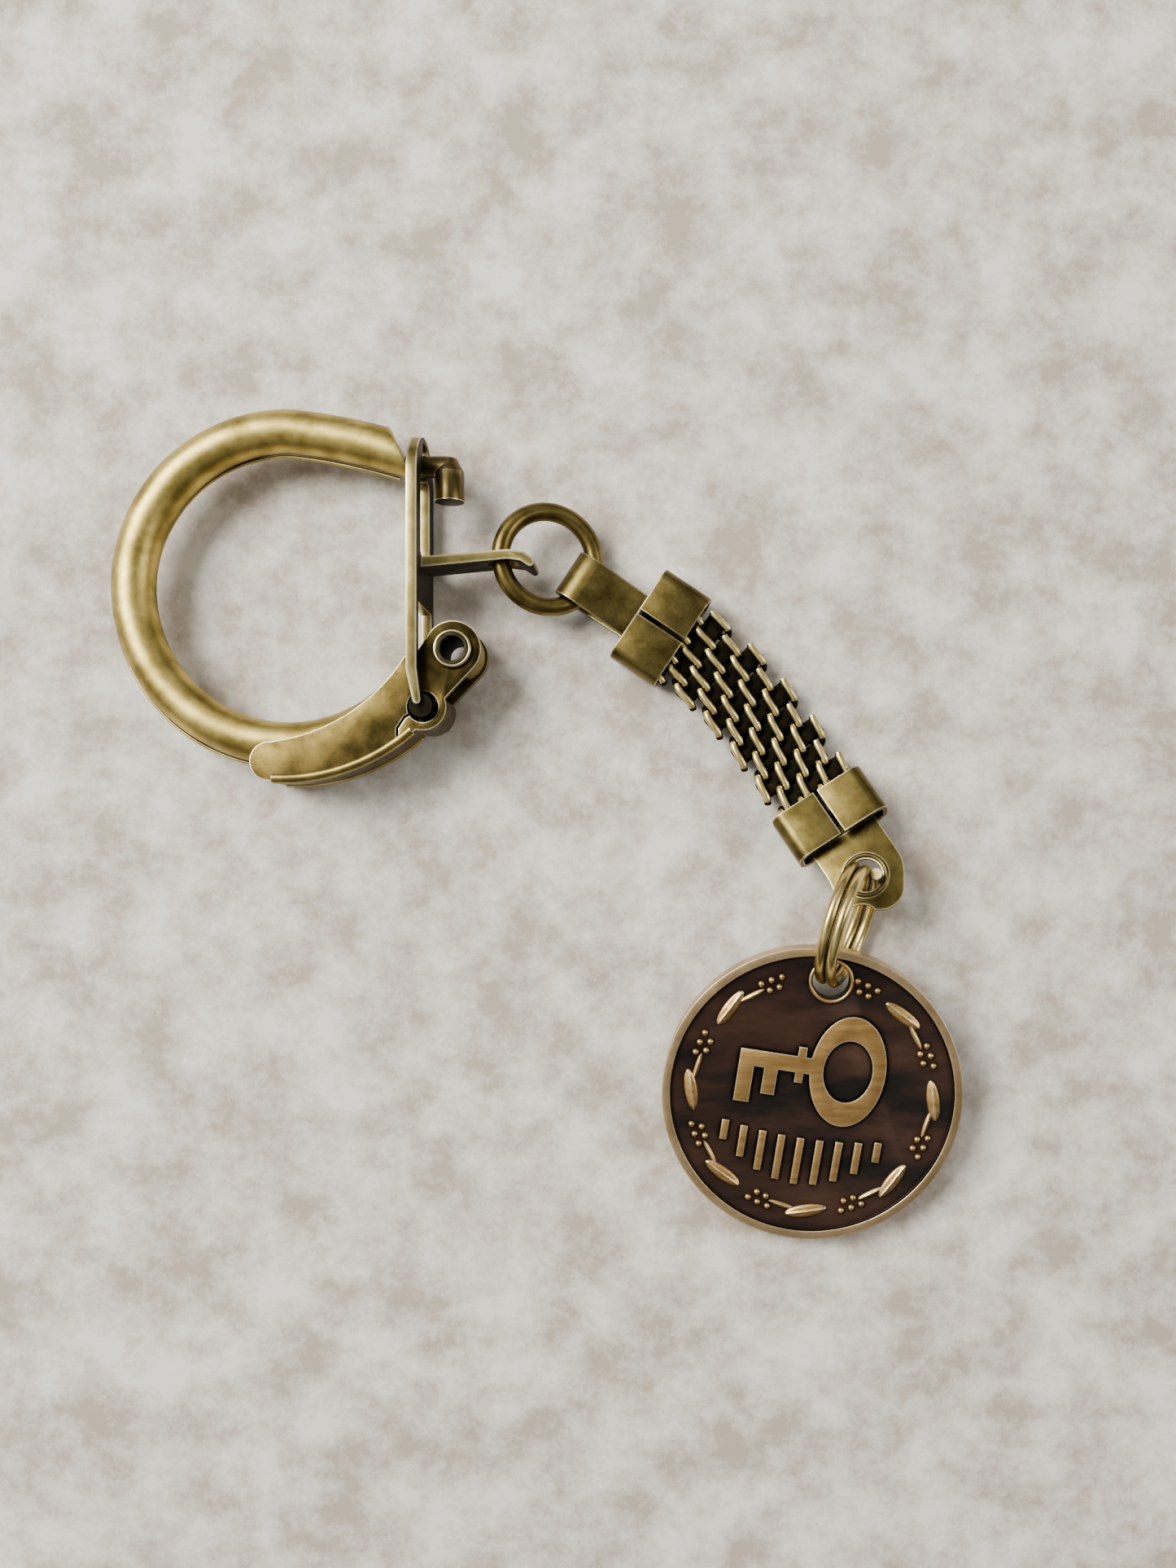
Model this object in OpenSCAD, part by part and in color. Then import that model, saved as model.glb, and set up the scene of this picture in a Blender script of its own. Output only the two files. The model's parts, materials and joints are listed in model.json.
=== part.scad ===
// Keychain: opening key ring with an over-centre locking lever, woven mesh strap and coin pendant.
// Lies flat, as on a table: X right, Y away from the viewer, Z up. All sizes in mm.

/* [Key ring] */
// Radius of the ring's tube centre line
ring_r = 8.45; // [7:0.05:10]
// Outside diameter of the ring's tube
tube_d = 2.34; // [1.6:0.02:3]
// Height of the ring's middle plane above the table
mid_z = 2.5; // [2:0.05:3.5]
// Radius of the neck that passes through the keyhole
neck_r = 0.58; // [0.4:0.01:0.8]
// Radius of the hook's head
head_r = 0.8; // [0.6:0.01:1.1]
// Length of the hook's head
head_l = 1.6; // [1:0.05:2.5]

/* [Bridge plate] */
// Sheet thickness of the bridge plate
plate_t = 0.56; // [0.4:0.01:0.9]
// Width of the bridge plate (its height above the table)
plate_w = 5.0; // [4:0.05:6]
// Half width of the keyhole's narrow end
key_narrow = 0.74; // [0.6:0.01:1]
// Half width of the keyhole's wide end and of the window the tongue came from
key_wide = 1.3; // [1:0.02:1.8]
// Half height of the lower slot
slot_half = 1.94; // [1.7:0.01:2.1]
// Radius of the cross bar the lever turns on
bar_r = 0.6; // [0.4:0.01:0.8]
// Length of the tongue that carries the link ring
tongue_l = 6.1; // [4:0.1:8]
// Radius of the tongue's hole
tongue_hole_r = 0.86; // [0.6:0.01:1.1]

/* [Lever] */
// Distance between the lever's cheeks
cheek_gap = 2.56; // [2.4:0.01:3]
// Sheet thickness of the lever
lever_t = 0.32; // [0.25:0.01:0.5]
// Outside radius of the lever's arm, about the ring's centre
arm_r = 10.6; // [10:0.05:11.5]
// Radius of the ear round the hinge
ear_r = 1.5; // [1.2:0.02:2]
// Radius of the round notch in the cheeks
notch_r = 0.84; // [0.6:0.01:1]

/* [Hinge eyelet] */
// Outside radius of the eyelet's barrel
eyelet_r = 0.83; // [0.6:0.01:1]
// Radius of the hole through the eyelet
eyelet_hole = 0.64; // [0.4:0.01:0.8]
// Radius of the eyelet's rolled flanges
flange_r = 1.02; // [0.9:0.01:1.3]
// Running clearance between the eyelet and the ring
run_gap = 0.06; // [0.01:0.01:0.1]

/* [Link ring] */
// Mean radius of the link ring
link_r = 2.6; // [2:0.05:3.5]
// Radius of the link ring's wire
link_wire = 0.5; // [0.3:0.01:0.7]
// Slope of the link ring from the tongue down to the strap, degrees
link_tilt = 18; // [0:1:30]

/* [Strap] */
// Overall width of the woven mesh
mesh_w = 5.05; // [4:0.05:6]
// Thickness of the woven mesh
mesh_t = 1.5; // [1:0.05:2]
// Distance from one mesh row to the next
row_pitch = 1.222; // [1:0.01:1.5]
// Length of one mesh row's solid core
row_l = 0.92; // [0.7:0.01:1.1]
// Heading of the strap at the upper clasp, degrees
head_start = -33.5; // [-60:0.5:0]
// Heading of the strap at the lower clasp, degrees
head_end = -57.3; // [-90:0.5:0]

/* [Clasps] */
// Sheet thickness of the clasps
clasp_t = 0.28; // [0.2:0.01:0.4]
// Length of the upper clasp's wings
wing_up = 3.1; // [2:0.1:4]
// Length of the lower clasp's wings
wing_low = 2.8; // [2:0.1:4]
// Width of the dark gap between the two wings
wing_gap = 0.24; // [0.1:0.02:0.5]
// Width of the tab folded round the link ring
tab_w = 2.6; // [2:0.05:3.5]
// Width of the lower clasp's end tab
end_w = 4.0; // [3:0.1:5]
// Radius of the hole in the end tab
end_hole = 0.92; // [0.7:0.01:1.2]
// Upward slope of the lower clasp, degrees
end_pitch = 16; // [0:1:25]

/* [Split ring] */
// Mean radius of the split ring
split_r = 3.1; // [2.8:0.05:3.6]
// Radius of the split ring's wire
split_wire = 0.31; // [0.2:0.01:0.4]
// Lean of the split ring from upright, degrees
split_lean = 15; // [0:1:30]

/* [Coin] */
// Radius of the coin
coin_r = 8.15; // [7:0.05:10]
// Thickness of the coin at its rim
coin_t = 1.25; // [1:0.05:2]
// Width of the raised rim
rim_w = 0.6; // [0.3:0.05:1]
// Distance of the hanging hole from the coin's centre
hole_off = 6.4; // [5:0.1:7]
// Radius of the hanging hole
coin_hole = 1.0; // [0.7:0.02:1.3]
// Slope of the coin, degrees
coin_tilt = 9.1; // [0:0.1:15]

/* [Hidden] */
$fn = 48;
// middle of the whole outline, moved to the origin
home_at = [0.22, -0.096, 0];
tube_r = tube_d / 2;
C = [-13.2, 12.87];
E = [-4.12, 9.3];
N = [-5.71, 6.23];
plate_x = -6.15;
out_r = 43;
plate_top = 20.9;
neck_y = 19.4;
tongue_y = 14.1;
slot_top = 11.75;
tip_x = N[0];
cheek_out = cheek_gap / 2 + lever_t;
link_c = [0.71, 14.55, 1.85];
rows = 9;
mouth_a = [8.21, 10.0, 1.08];
split_d = [0.323, 0.9464, 0];
split_u = [-0.9464 * sin(split_lean), 0.323 * sin(split_lean), cos(split_lean)];
split_n = cross(split_d, split_u);
split_c = [16.86, -5.385, 3.59];
coin_c = [15.1, -14.55, coin_r * sin(coin_tilt) + coin_t / 2 * cos(coin_tilt)];
coin_turn = -8.8;

module home() translate(-home_at) children();

function polar(r, a) = [r * cos(a), r * sin(a)];
function share(s) = 1 - pow(1 - s, 1.8);
// heading and slope of joint k between rows k and k+1, k = 0 at the upper clasp's mouth
function heading(k) = head_start + (head_end - head_start) * share(k / (rows + 1));
function slope(k) = -4 + 14 * pow(k / (rows + 1), 2);
function dir(k) = [cos(slope(k)) * cos(heading(k)), cos(slope(k)) * sin(heading(k)), sin(slope(k))];
// joint k sits at the end of row k; row k runs from joint k-1 to joint k
function joint_at(k) = k <= 0 ? mouth_a : joint_at(k - 1) + row_pitch * dir(k);

// a flat link between two discs, built from the discs and their common tangents
module link2d(p, r, q, s) {
    d = norm(q - p);
    a = atan2(q[1] - p[1], q[0] - p[0]);
    b = acos((r - s) / d);
    translate(p) circle(r);
    translate(q) circle(s);
    polygon([p + polar(r, a + b), q + polar(s, a + b), q + polar(s, a - b), p + polar(r, a - b)]);
}

module round_rect(l, h, r) {
    square([l - 2 * r, h], center = true);
    square([l, h - 2 * r], center = true);
    for (i = [-1, 1], j = [-1, 1]) translate([i * (l / 2 - r), j * (h / 2 - r)]) circle(r);
}

module torus(r, w) rotate_extrude($fn = 96) translate([r, 0]) circle(w, $fn = 32);

// ---- key ring ----
module ring_bow() color([0.66, 0.57, 0.32]) home() difference() {
    union() {
        translate([C[0], C[1], mid_z]) rotate([0, 0, 80]) rotate_extrude(angle = 228.5, $fn = 120) translate([ring_r, 0]) circle(tube_r, $fn = 32);
        // lower end runs straight to the hinge
        translate([C[0] + ring_r * cos(-51.5) - 0.4 * cos(38.5), C[1] + ring_r * sin(-51.5) - 0.4 * sin(38.5), mid_z]) rotate([0, 90, 38.5]) cylinder(h = 5.15, r = tube_r + 0.02);
        translate([E[0], E[1], mid_z - tube_r + 0.02]) cylinder(h = tube_d - 0.04, r = 1.34);
        // upper end runs out towards the plate in a long flat curve
        difference() {
            translate([C[0] + (ring_r - out_r) * cos(80), C[1] + (ring_r - out_r) * sin(80), mid_z]) rotate([0, 0, 73]) rotate_extrude(angle = 7.6, $fn = 360) translate([out_r, 0]) circle(tube_r + 0.015, $fn = 32);
            // square cut beside the plate and the bevel that lets the ring turn
            translate([plate_x - plate_t / 2 - 0.22, neck_y - 4, mid_z - 2]) cube([4, 8, 4]);
            translate([plate_x - plate_t / 2 - 0.22, neck_y - 0.2, mid_z - 2]) rotate([0, 0, 27]) cube([4, 4, 4]);
        }
        translate([plate_x - 1.3, neck_y, mid_z]) rotate([0, 90, 0]) cylinder(h = 2.9, r = neck_r);
        // head with a faceted top and a flat end
        translate([-4.55, neck_y - 0.3, mid_z]) rotate([90, 0, 0]) cylinder(h = head_l, r = head_r);
        translate([-4.55, neck_y - 0.3, mid_z]) rotate([-90, 0, 0]) cylinder(h = 0.75, r1 = head_r, r2 = 0.4);
    }
    translate([E[0], E[1], mid_z - 3]) cylinder(h = 6, r = eyelet_r + run_gap);
    // relief for the cross bar
    translate([N[0], N[1], mid_z - 3]) cylinder(h = 6, r = bar_r + 0.22);
}

// ---- bridge plate with its tongue, keyhole, slot and cross bar ----
module bridge_plate() color([0.68, 0.59, 0.34]) home() {
    difference() {
        union() {
            translate([plate_x, 0, mid_z]) rotate([0, 90, 0]) linear_extrude(height = plate_t, center = true) {
                translate([-plate_w / 2, 8.1]) square([plate_w, plate_top - plate_w / 2 - 8.1]);
                translate([0, plate_top - plate_w / 2]) circle(plate_w / 2, $fn = 96);
            }
            // rails taper and curl towards the cross bar
            translate([0, 0, mid_z - plate_w / 2]) linear_extrude(height = plate_w) link2d([plate_x, 8.15], plate_t / 2, [N[0] - 0.15, N[1] + 0.25], 0.2);
        }
        // keyhole
        translate([plate_x, 0, mid_z]) rotate([0, 90, 0]) linear_extrude(height = 3, center = true) {
            translate([-key_narrow, 18]) square([2 * key_narrow, neck_y + neck_r + 0.62 - 18 - 0.3]);
            translate([-key_narrow + 0.3, 18]) square([2 * key_narrow - 0.6, neck_y + neck_r + 0.62 - 18]);
            for (s = [-1, 1]) translate([s * (key_narrow - 0.3), neck_y + neck_r + 0.32]) circle(0.3);
            translate([0, (tongue_y + 0.3 + 18.75) / 2]) round_rect(2 * key_wide, 18.75 - tongue_y - 0.3, 0.35);
        }
        // lower slot, open round the cross bar
        translate([-9, N[1] - 1.5, mid_z - slot_half]) cube([6, slot_top - N[1] + 1.5, 2 * slot_half]);
    }
    // cross bar
    translate([N[0], N[1], mid_z - plate_w / 2 + 0.25]) cylinder(h = plate_w - 0.5, r = bar_r);
    // tongue: bent out of the window, rising a little and curling down at its end
    difference() {
        translate([0, 0, mid_z - key_wide + 0.05]) linear_extrude(height = 2 * key_wide - 0.1) {
            link2d([plate_x, tongue_y - 0.12], plate_t / 2, [plate_x + tongue_l * 0.8, tongue_y + 0.32], 0.25);
            link2d([plate_x + tongue_l * 0.8, tongue_y + 0.32], 0.25, [plate_x + tongue_l * 0.93, tongue_y + 0.22], 0.25);
            link2d([plate_x + tongue_l * 0.93, tongue_y + 0.22], 0.25, [plate_x + tongue_l, tongue_y - 0.1], 0.22);
        }
        translate([link_c[0] - link_r * cos(link_tilt) + 0.14, tongue_y + 1.5, mid_z]) rotate([90, 0, 0]) cylinder(h = 3, r = tongue_hole_r);
    }
}

// ---- lever ----
module lever2d() {
    intersection() {
        difference() {
            translate(C) circle(arm_r, $fn = 160);
            translate(C + [-1.75, 1.2]) circle(9.75, $fn = 160);
        }
        polygon([C, C + polar(20, -94), C + polar(20, -62), C + polar(20, -31)]);
    }
    translate(C + polar(9.55, -94)) circle(1.04, $fn = 64);
    translate(N) circle(1.25);
    link2d(E, ear_r, C + polar(9.35, -37.5), 1.25);
}

module s_slit() {
    link2d(N, 0.07, N + [-0.95, -0.55], 0.07);
    link2d(N + [-0.95, -0.55], 0.07, N + [-1.35, -1.15], 0.07);
    link2d(N + [-1.35, -1.15], 0.07, N + [-1.35, -1.6], 0.07);
}

module spine2d() {
    intersection() {
        difference() {
            union() {
                translate(C) circle(arm_r, $fn = 160);
                translate(N) circle(1.25);
            }
            difference() {
                translate(C) circle(arm_r - lever_t, $fn = 160);
            }
            translate(N) circle(1.25 - lever_t);
        }
        polygon([C, C + polar(20, -94), C + polar(20, -62), C + polar(20, -36)]);
    }
}

module lock_lever() color([0.66, 0.56, 0.30]) home() {
    difference() {
        for (s = [-1, 1]) translate([0, 0, mid_z + s * (cheek_gap / 2 + lever_t / 2)]) linear_extrude(height = lever_t, center = true) difference() {
            lever2d();
            translate(N) circle(notch_r);
            s_slit();
        }
        translate([E[0], E[1], mid_z - 3]) cylinder(h = 6, r = eyelet_r + 0.01);
    }
    translate([0, 0, mid_z]) linear_extrude(height = cheek_gap + 0.02, center = true) spine2d();
}

module hinge_eyelet() color([0.72, 0.64, 0.40]) home() translate([E[0], E[1], mid_z]) difference() {
    union() {
        cylinder(h = 2 * cheek_out + 0.2, r = eyelet_r, center = true);
        for (s = [-1, 1]) translate([0, 0, s * (cheek_out + 0.01 + 0.1)]) cylinder(h = 0.2, r = flange_r, center = true);
    }
    cylinder(h = 8, r = eyelet_hole, center = true);
}

// ---- link ring ----
module link_ring() color([0.65, 0.56, 0.32]) home() translate(link_c) rotate([0, link_tilt, 0]) torus(link_r, link_wire);

// ---- strap ----
module row_core(w = mesh_w) rotate([90, 0, 0]) linear_extrude(height = w, center = true) round_rect(row_l, mesh_t, 0.42);

module mesh_row(k) {
    p = (joint_at(k - 1) + joint_at(k)) / 2;
    translate(p) rotate([0, 0, heading(k)]) rotate([0, -slope(k), 0]) children();
}

module held_row(p, h, s, x) translate(p) rotate([0, 0, h]) rotate([0, -s, 0]) translate([x, 0, 0]) row_core(mesh_w - 0.7);

module mesh_row_00() color([0.60, 0.52, 0.30]) home() held_row(mouth_a, head_start, -2, -row_pitch / 2);
module mesh_row_01() color([0.62, 0.54, 0.30]) home() mesh_row(1) row_core();
module mesh_row_02() color([0.62, 0.54, 0.30]) home() mesh_row(2) row_core();
module mesh_row_03() color([0.62, 0.54, 0.30]) home() mesh_row(3) row_core();
module mesh_row_04() color([0.62, 0.54, 0.30]) home() mesh_row(4) row_core();
module mesh_row_05() color([0.62, 0.54, 0.30]) home() mesh_row(5) row_core();
module mesh_row_06() color([0.62, 0.54, 0.30]) home() mesh_row(6) row_core();
module mesh_row_07() color([0.62, 0.54, 0.30]) home() mesh_row(7) row_core();
module mesh_row_08() color([0.62, 0.54, 0.30]) home() mesh_row(8) row_core();
module mesh_row_09() color([0.62, 0.54, 0.30]) home() mesh_row(9) row_core();
module mesh_row_10() color([0.60, 0.52, 0.30]) home() held_row(joint_at(rows), head_end, end_pitch, row_pitch / 2);

// ---- clasps: one sheet each, folded over the mesh, x along the strap ----
module sleeve(l) {
    in_w = mesh_w + 0.06;
    in_h = mesh_t + 0.06;
    rotate([90, 0, 90]) linear_extrude(height = l) difference() {
        round_rect(in_w + 2 * clasp_t, in_h + 2 * clasp_t, 0.72);
        round_rect(in_w, in_h, 0.44);
        translate([-wing_gap / 2, 0]) square([wing_gap, 3]);
    }
}

module upper_clasp() color([0.68, 0.60, 0.36]) home() translate(mouth_a) rotate([0, 0, head_start]) rotate([0, 2, 0]) {
    floor_z = -(mesh_t / 2 + 0.03 + clasp_t);
    translate([-wing_up, 0, 0]) sleeve(wing_up - 0.14);
    // step from the sleeve's floor up to the tab
    translate([-wing_up, -tab_w / 2, floor_z]) cube([clasp_t, tab_w, 1.8]);
    // tab folded round the link ring's wire
    translate([-6.4, -0.25, -0.07]) rotate([90, 0, 0]) linear_extrude(height = tab_w, center = true) difference() {
        union() {
            link2d([-0.1, 0], 1.08, [0.1, 0], 1.0801);
            link2d([0.1, 0], 1.08, [3.3, 0], 0.6);
        }
        link2d([-0.1, 0], 0.82, [0.1, 0], 0.8201);
        link2d([0.1, 0], 0.82, [3.3, 0], 0.34);
    }
    translate([-wing_up, -tab_w / 2, -0.5]) cube([clasp_t, tab_w, 1.2]);
}

module lower_clasp() color([0.68, 0.60, 0.36]) home() translate(joint_at(rows)) rotate([0, 0, head_end]) rotate([0, -end_pitch, 0]) {
    floor_z = -(mesh_t / 2 + 0.03 + clasp_t);
    translate([0.14, 0, 0]) sleeve(wing_low);
    translate([wing_low, -end_w / 2, floor_z]) cube([clasp_t, end_w, -floor_z + clasp_t / 2]);
    difference() {
        union() {
            translate([0, 0, -clasp_t / 2]) linear_extrude(height = clasp_t) difference() {
                union() {
                    translate([wing_low, -end_w / 2]) square([2.2, end_w]);
                    translate([5.2, -0.05]) circle(end_w / 2 + 0.04);
                    link2d([5.4, -0.05], 1.95, [6.35, 0.1], 1.3);
                }
                // bite beside the tip
                translate([7.45, -1.75]) circle(0.95);
            }
            // lip round the hole
            translate([5.4, -0.2, clasp_t / 2 - 0.02]) torus(end_hole + 0.2, 0.13);
        }
        translate([5.4, -0.2, -2]) cylinder(h = 4, r = end_hole);
    }
}

// ---- split ring: two turns side by side ----
module split_ring() color([0.62, 0.54, 0.34]) home() multmatrix([
    [split_d[0], split_u[0], split_n[0], split_c[0]],
    [split_d[1], split_u[1], split_n[1], split_c[1]],
    [split_d[2], split_u[2], split_n[2], split_c[2]],
    [0, 0, 0, 1]]) {
    for (s = [-1, 1]) translate([0, 0, s * (split_wire - 0.03)]) torus(split_r, split_wire);
}

// ---- coin ----
module sprig() {
    // one slim leaf with its stalk, lying along the rim
    rotate([0, 0, 12]) scale([1, 0.3]) circle(1.15, $fn = 24);
    rotate([0, 0, -14]) translate([-1.25, 0]) scale([1, 0.2]) circle(0.6, $fn = 16);
}

module emblem() {
    // an old-fashioned key lying on its side: oval bow, shaft, collar and two teeth
    difference() {
        translate([1.7, 1.6]) scale([1, 1.5]) circle(2.05);
        translate([1.7, 1.6]) scale([1, 1.3]) circle(1.32);
    }
    translate([-4.2, 1.15]) square([4.3, 0.9]);
    translate([-1.1, 0.6]) square([0.45, 2]);
    translate([-4.2, -0.9]) square([0.85, 2.5]);
    translate([-2.8, -0.3]) square([0.75, 1.9]);
}

module coin_face(h) {
    base = coin_t / 2 - 0.16;
    translate([0, 0, base - 0.1]) linear_extrude(height = h + 0.1) emblem();
    // ring of leaf sprigs and groups of dots
    for (i = [0:7]) rotate([0, 0, 5 + i * 45]) translate([6.6, 0, base - 0.1]) linear_extrude(height = h + 0.06) rotate([0, 0, 90]) sprig();
    for (i = [0:7]) rotate([0, 0, 28 + i * 45]) for (j = [-1, 0, 1]) rotate([0, 0, j * 5]) translate([6.75, 0, base - 0.1]) cylinder(h = h + 0.04, r = 0.18, $fn = 16);
    for (i = [0:7]) rotate([0, 0, 28 + i * 45]) for (j = [-0.5, 0.5]) rotate([0, 0, j * 5]) translate([6.25, 0, base - 0.1]) cylinder(h = h + 0.04, r = 0.18, $fn = 16);
    // an arched row of small bars under the emblem, longest in the middle
    for (j = [-4:4]) {
        l = 2.65 - 1.5 * j * j / 16;
        translate([j * 1.05 - 0.2, -2.45 + 0.4 * j * j / 16 - l / 2, base - 0.1]) linear_extrude(height = h + 0.04) round_rect(0.42, l, 0.12);
    }
}

module coin() color([0.34, 0.26, 0.20]) home() translate(coin_c) rotate([0, 0, coin_turn]) rotate([coin_tilt, 0, 0]) difference() {
    union() {
        rotate_extrude($fn = 144) polygon([[0, -coin_t / 2 + 0.16], [coin_r - rim_w, -coin_t / 2 + 0.16], [coin_r - rim_w + 0.08, -coin_t / 2],
            [coin_r - 0.1, -coin_t / 2], [coin_r, -coin_t / 2 + 0.1], [coin_r, coin_t / 2 - 0.1], [coin_r - 0.1, coin_t / 2],
            [coin_r - rim_w + 0.08, coin_t / 2], [coin_r - rim_w, coin_t / 2 - 0.16], [0, coin_t / 2 - 0.16]]);
        coin_face(0.13);
        translate([0, hole_off, coin_t / 2 - 0.3]) cylinder(h = 0.22, r = coin_hole + 0.18);
    }
    translate([0, hole_off, -2]) cylinder(h = 4, r = coin_hole);
}

ring_bow();
bridge_plate();
lock_lever();
hinge_eyelet();
link_ring();
upper_clasp();
mesh_row_00();
mesh_row_01();
mesh_row_02();
mesh_row_03();
mesh_row_04();
mesh_row_05();
mesh_row_06();
mesh_row_07();
mesh_row_08();
mesh_row_09();
mesh_row_10();
lower_clasp();
split_ring();
coin();
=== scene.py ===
import json
import math
import bpy
from mathutils import Matrix, Vector


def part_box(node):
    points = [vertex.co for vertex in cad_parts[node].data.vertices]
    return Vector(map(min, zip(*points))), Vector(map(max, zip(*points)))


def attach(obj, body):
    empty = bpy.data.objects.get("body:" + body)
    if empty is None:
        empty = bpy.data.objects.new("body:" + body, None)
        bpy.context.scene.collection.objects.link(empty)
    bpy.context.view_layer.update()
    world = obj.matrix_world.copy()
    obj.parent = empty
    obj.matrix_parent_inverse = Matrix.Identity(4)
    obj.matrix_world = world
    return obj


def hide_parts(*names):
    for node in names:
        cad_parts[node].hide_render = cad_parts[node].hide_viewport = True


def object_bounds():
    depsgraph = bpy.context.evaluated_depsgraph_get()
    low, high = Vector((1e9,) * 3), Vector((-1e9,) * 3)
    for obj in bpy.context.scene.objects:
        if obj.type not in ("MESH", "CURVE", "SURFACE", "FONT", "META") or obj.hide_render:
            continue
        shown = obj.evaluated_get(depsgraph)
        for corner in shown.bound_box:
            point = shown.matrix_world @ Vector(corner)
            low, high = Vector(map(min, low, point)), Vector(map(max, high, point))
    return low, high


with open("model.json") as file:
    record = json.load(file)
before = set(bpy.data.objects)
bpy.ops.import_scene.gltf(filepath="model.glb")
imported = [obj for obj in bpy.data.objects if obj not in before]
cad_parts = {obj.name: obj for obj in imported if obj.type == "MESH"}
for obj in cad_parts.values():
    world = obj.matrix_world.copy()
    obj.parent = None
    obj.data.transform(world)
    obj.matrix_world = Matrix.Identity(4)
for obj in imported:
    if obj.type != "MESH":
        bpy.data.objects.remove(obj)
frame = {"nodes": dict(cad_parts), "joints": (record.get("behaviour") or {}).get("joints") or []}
cad_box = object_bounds()

MM = 0.001
JOINT = {j["name"]: j for j in frame["joints"]}


def joint_place(name):
    return Vector(JOINT[name]["pos_m"])


def joint_axis(name):
    return Vector(JOINT[name]["axis"]).normalized()


# ---- driving sizes, in metres -------------------------------------------------
# key ring
ring_radius = 8.45 * MM
tube_radius = 1.17 * MM
hinge = joint_place("ring_open")
notch = joint_place("lever_lift")
mid_height = hinge.z
hinge_to_middle = 3.57 * MM
ring_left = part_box("ring_bow")[0].x
ring_centre = Vector((ring_left + ring_radius + tube_radius, hinge.y + hinge_to_middle, mid_height))
# angles on the ring, in degrees: where the bow passes into its flatter tail, and into the arm
tail_join = 80
arm_join = 308.5
join_lap = 0.1
tail_bend = 43 * MM
tail_centre = ring_centre + (Vector((math.cos(math.radians(tail_join)),
                                     math.sin(math.radians(tail_join)), 0))
                             * (ring_radius - tail_bend))

# plate and lever
plate_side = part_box("bridge_plate")[0].x
plate_sheet = 0.56 * MM
plate_reach = 1.2 * plate_sheet
neck_level = 19.496 * MM
arm_radius = 10.6 * MM
cheek_out = 1.6 * MM

# strap
mesh_wide = 5.05 * MM
mesh_thick = 1.5 * MM
mesh_wire = 0.20 * MM
turns_across = 4
coil_long = 2.25 * MM

# split ring
split_radius = 3.1 * MM
split_wire = 0.3 * MM

# coin
coin_radius = 8.15 * MM
coin_thick = 1.25 * MM
coin_slope = math.radians(9.1)
coin_turn = math.radians(-8.8)
coin_hole_radius = 1.0 * MM
coin_hole_off = 6.4 * MM
coin_low, coin_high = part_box("coin")
coin_centre = (coin_low + coin_high) / 2


# ---- bench helpers ------------------------------------------------------------
def put_down_all():
    if bpy.context.object and bpy.context.object.mode != "OBJECT":
        bpy.ops.object.mode_set(mode="OBJECT")
    bpy.ops.object.select_all(action="DESELECT")


def pick_up(piece):
    put_down_all()
    piece.hide_set(False)
    piece.select_set(True)
    bpy.context.view_layer.objects.active = piece


def work_on(piece, what="FACE"):
    pick_up(piece)
    bpy.ops.object.mode_set(mode="EDIT")
    bpy.ops.mesh.select_mode(type=what)
    bpy.ops.mesh.select_all(action="DESELECT")


def done_working():
    bpy.ops.object.mode_set(mode="OBJECT")


def mark(piece, kind, test):
    """Selects verts, edges or faces whose middle passes the test, and stays in edit mode."""
    bpy.ops.mesh.select_all(action="DESELECT")
    bpy.ops.object.mode_set(mode="OBJECT")
    mesh = piece.data
    if kind == "VERT":
        for v in mesh.vertices:
            v.select = test(v.co)
    elif kind == "EDGE":
        for e in mesh.edges:
            one, other = (mesh.vertices[i].co for i in e.vertices)
            e.select = test((one + other) / 2)
    else:
        for f in mesh.polygons:
            f.select = test(f.center, f.normal)
    bpy.ops.object.mode_set(mode="EDIT")


def fix_place(piece):
    pick_up(piece)
    bpy.ops.object.transform_apply(location=True, rotation=True, scale=True)


def run_modifiers(piece):
    pick_up(piece)
    for m in list(piece.modifiers):
        bpy.ops.object.modifier_apply(modifier=m.name)


def tidy_faces(piece, gap=0.002 * MM):
    """Merges doubled points and turns every face outward."""
    work_on(piece, "VERT")
    bpy.ops.mesh.select_all(action="SELECT")
    bpy.ops.mesh.remove_doubles(threshold=gap)
    bpy.ops.mesh.normals_make_consistent(inside=False)
    done_working()


def smooth(piece, angle=35):
    pick_up(piece)
    bpy.ops.object.shade_smooth_by_angle(angle=math.radians(angle))


def round_over(piece, width, angle=30, segments=3):
    """Rounds every edge sharper than the angle."""
    edge = piece.modifiers.new("edge", "BEVEL")
    edge.width = width
    edge.segments = segments
    edge.limit_method = "ANGLE"
    edge.angle_limit = math.radians(angle)
    run_modifiers(piece)
    smooth(piece, 40)
    return piece


def join_up(name, parts):
    put_down_all()
    for p in parts:
        p.select_set(True)
    bpy.context.view_layer.objects.active = parts[0]
    if len(parts) > 1:
        bpy.ops.object.join()
    piece = bpy.context.object
    piece.name = name
    piece.data.name = name
    fix_place(piece)
    return piece


def copy_of(piece, name):
    twin = piece.copy()
    twin.data = piece.data.copy()
    twin.name = name
    bpy.context.scene.collection.objects.link(twin)
    return twin


def paint(piece, mat):
    piece.data.materials.clear()
    piece.data.materials.append(mat)


def finish_part_of(piece, mat, test):
    """Faces that pass the test get a finish of their own."""
    piece.data.materials.append(mat)
    work_on(piece, "FACE")
    mark(piece, "FACE", test)
    piece.active_material_index = len(piece.data.materials) - 1
    bpy.ops.object.material_slot_assign()
    done_working()


def off_axis(p, axis_place):
    """Distance from an upright axis, seen from above."""
    return math.hypot(p.x - axis_place.x, p.y - axis_place.y)


def around_axis(p, axis_place):
    """Angle about an upright axis, 0 to 360 degrees."""
    return math.degrees(math.atan2(p.y - axis_place.y, p.x - axis_place.x)) % 360


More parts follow.
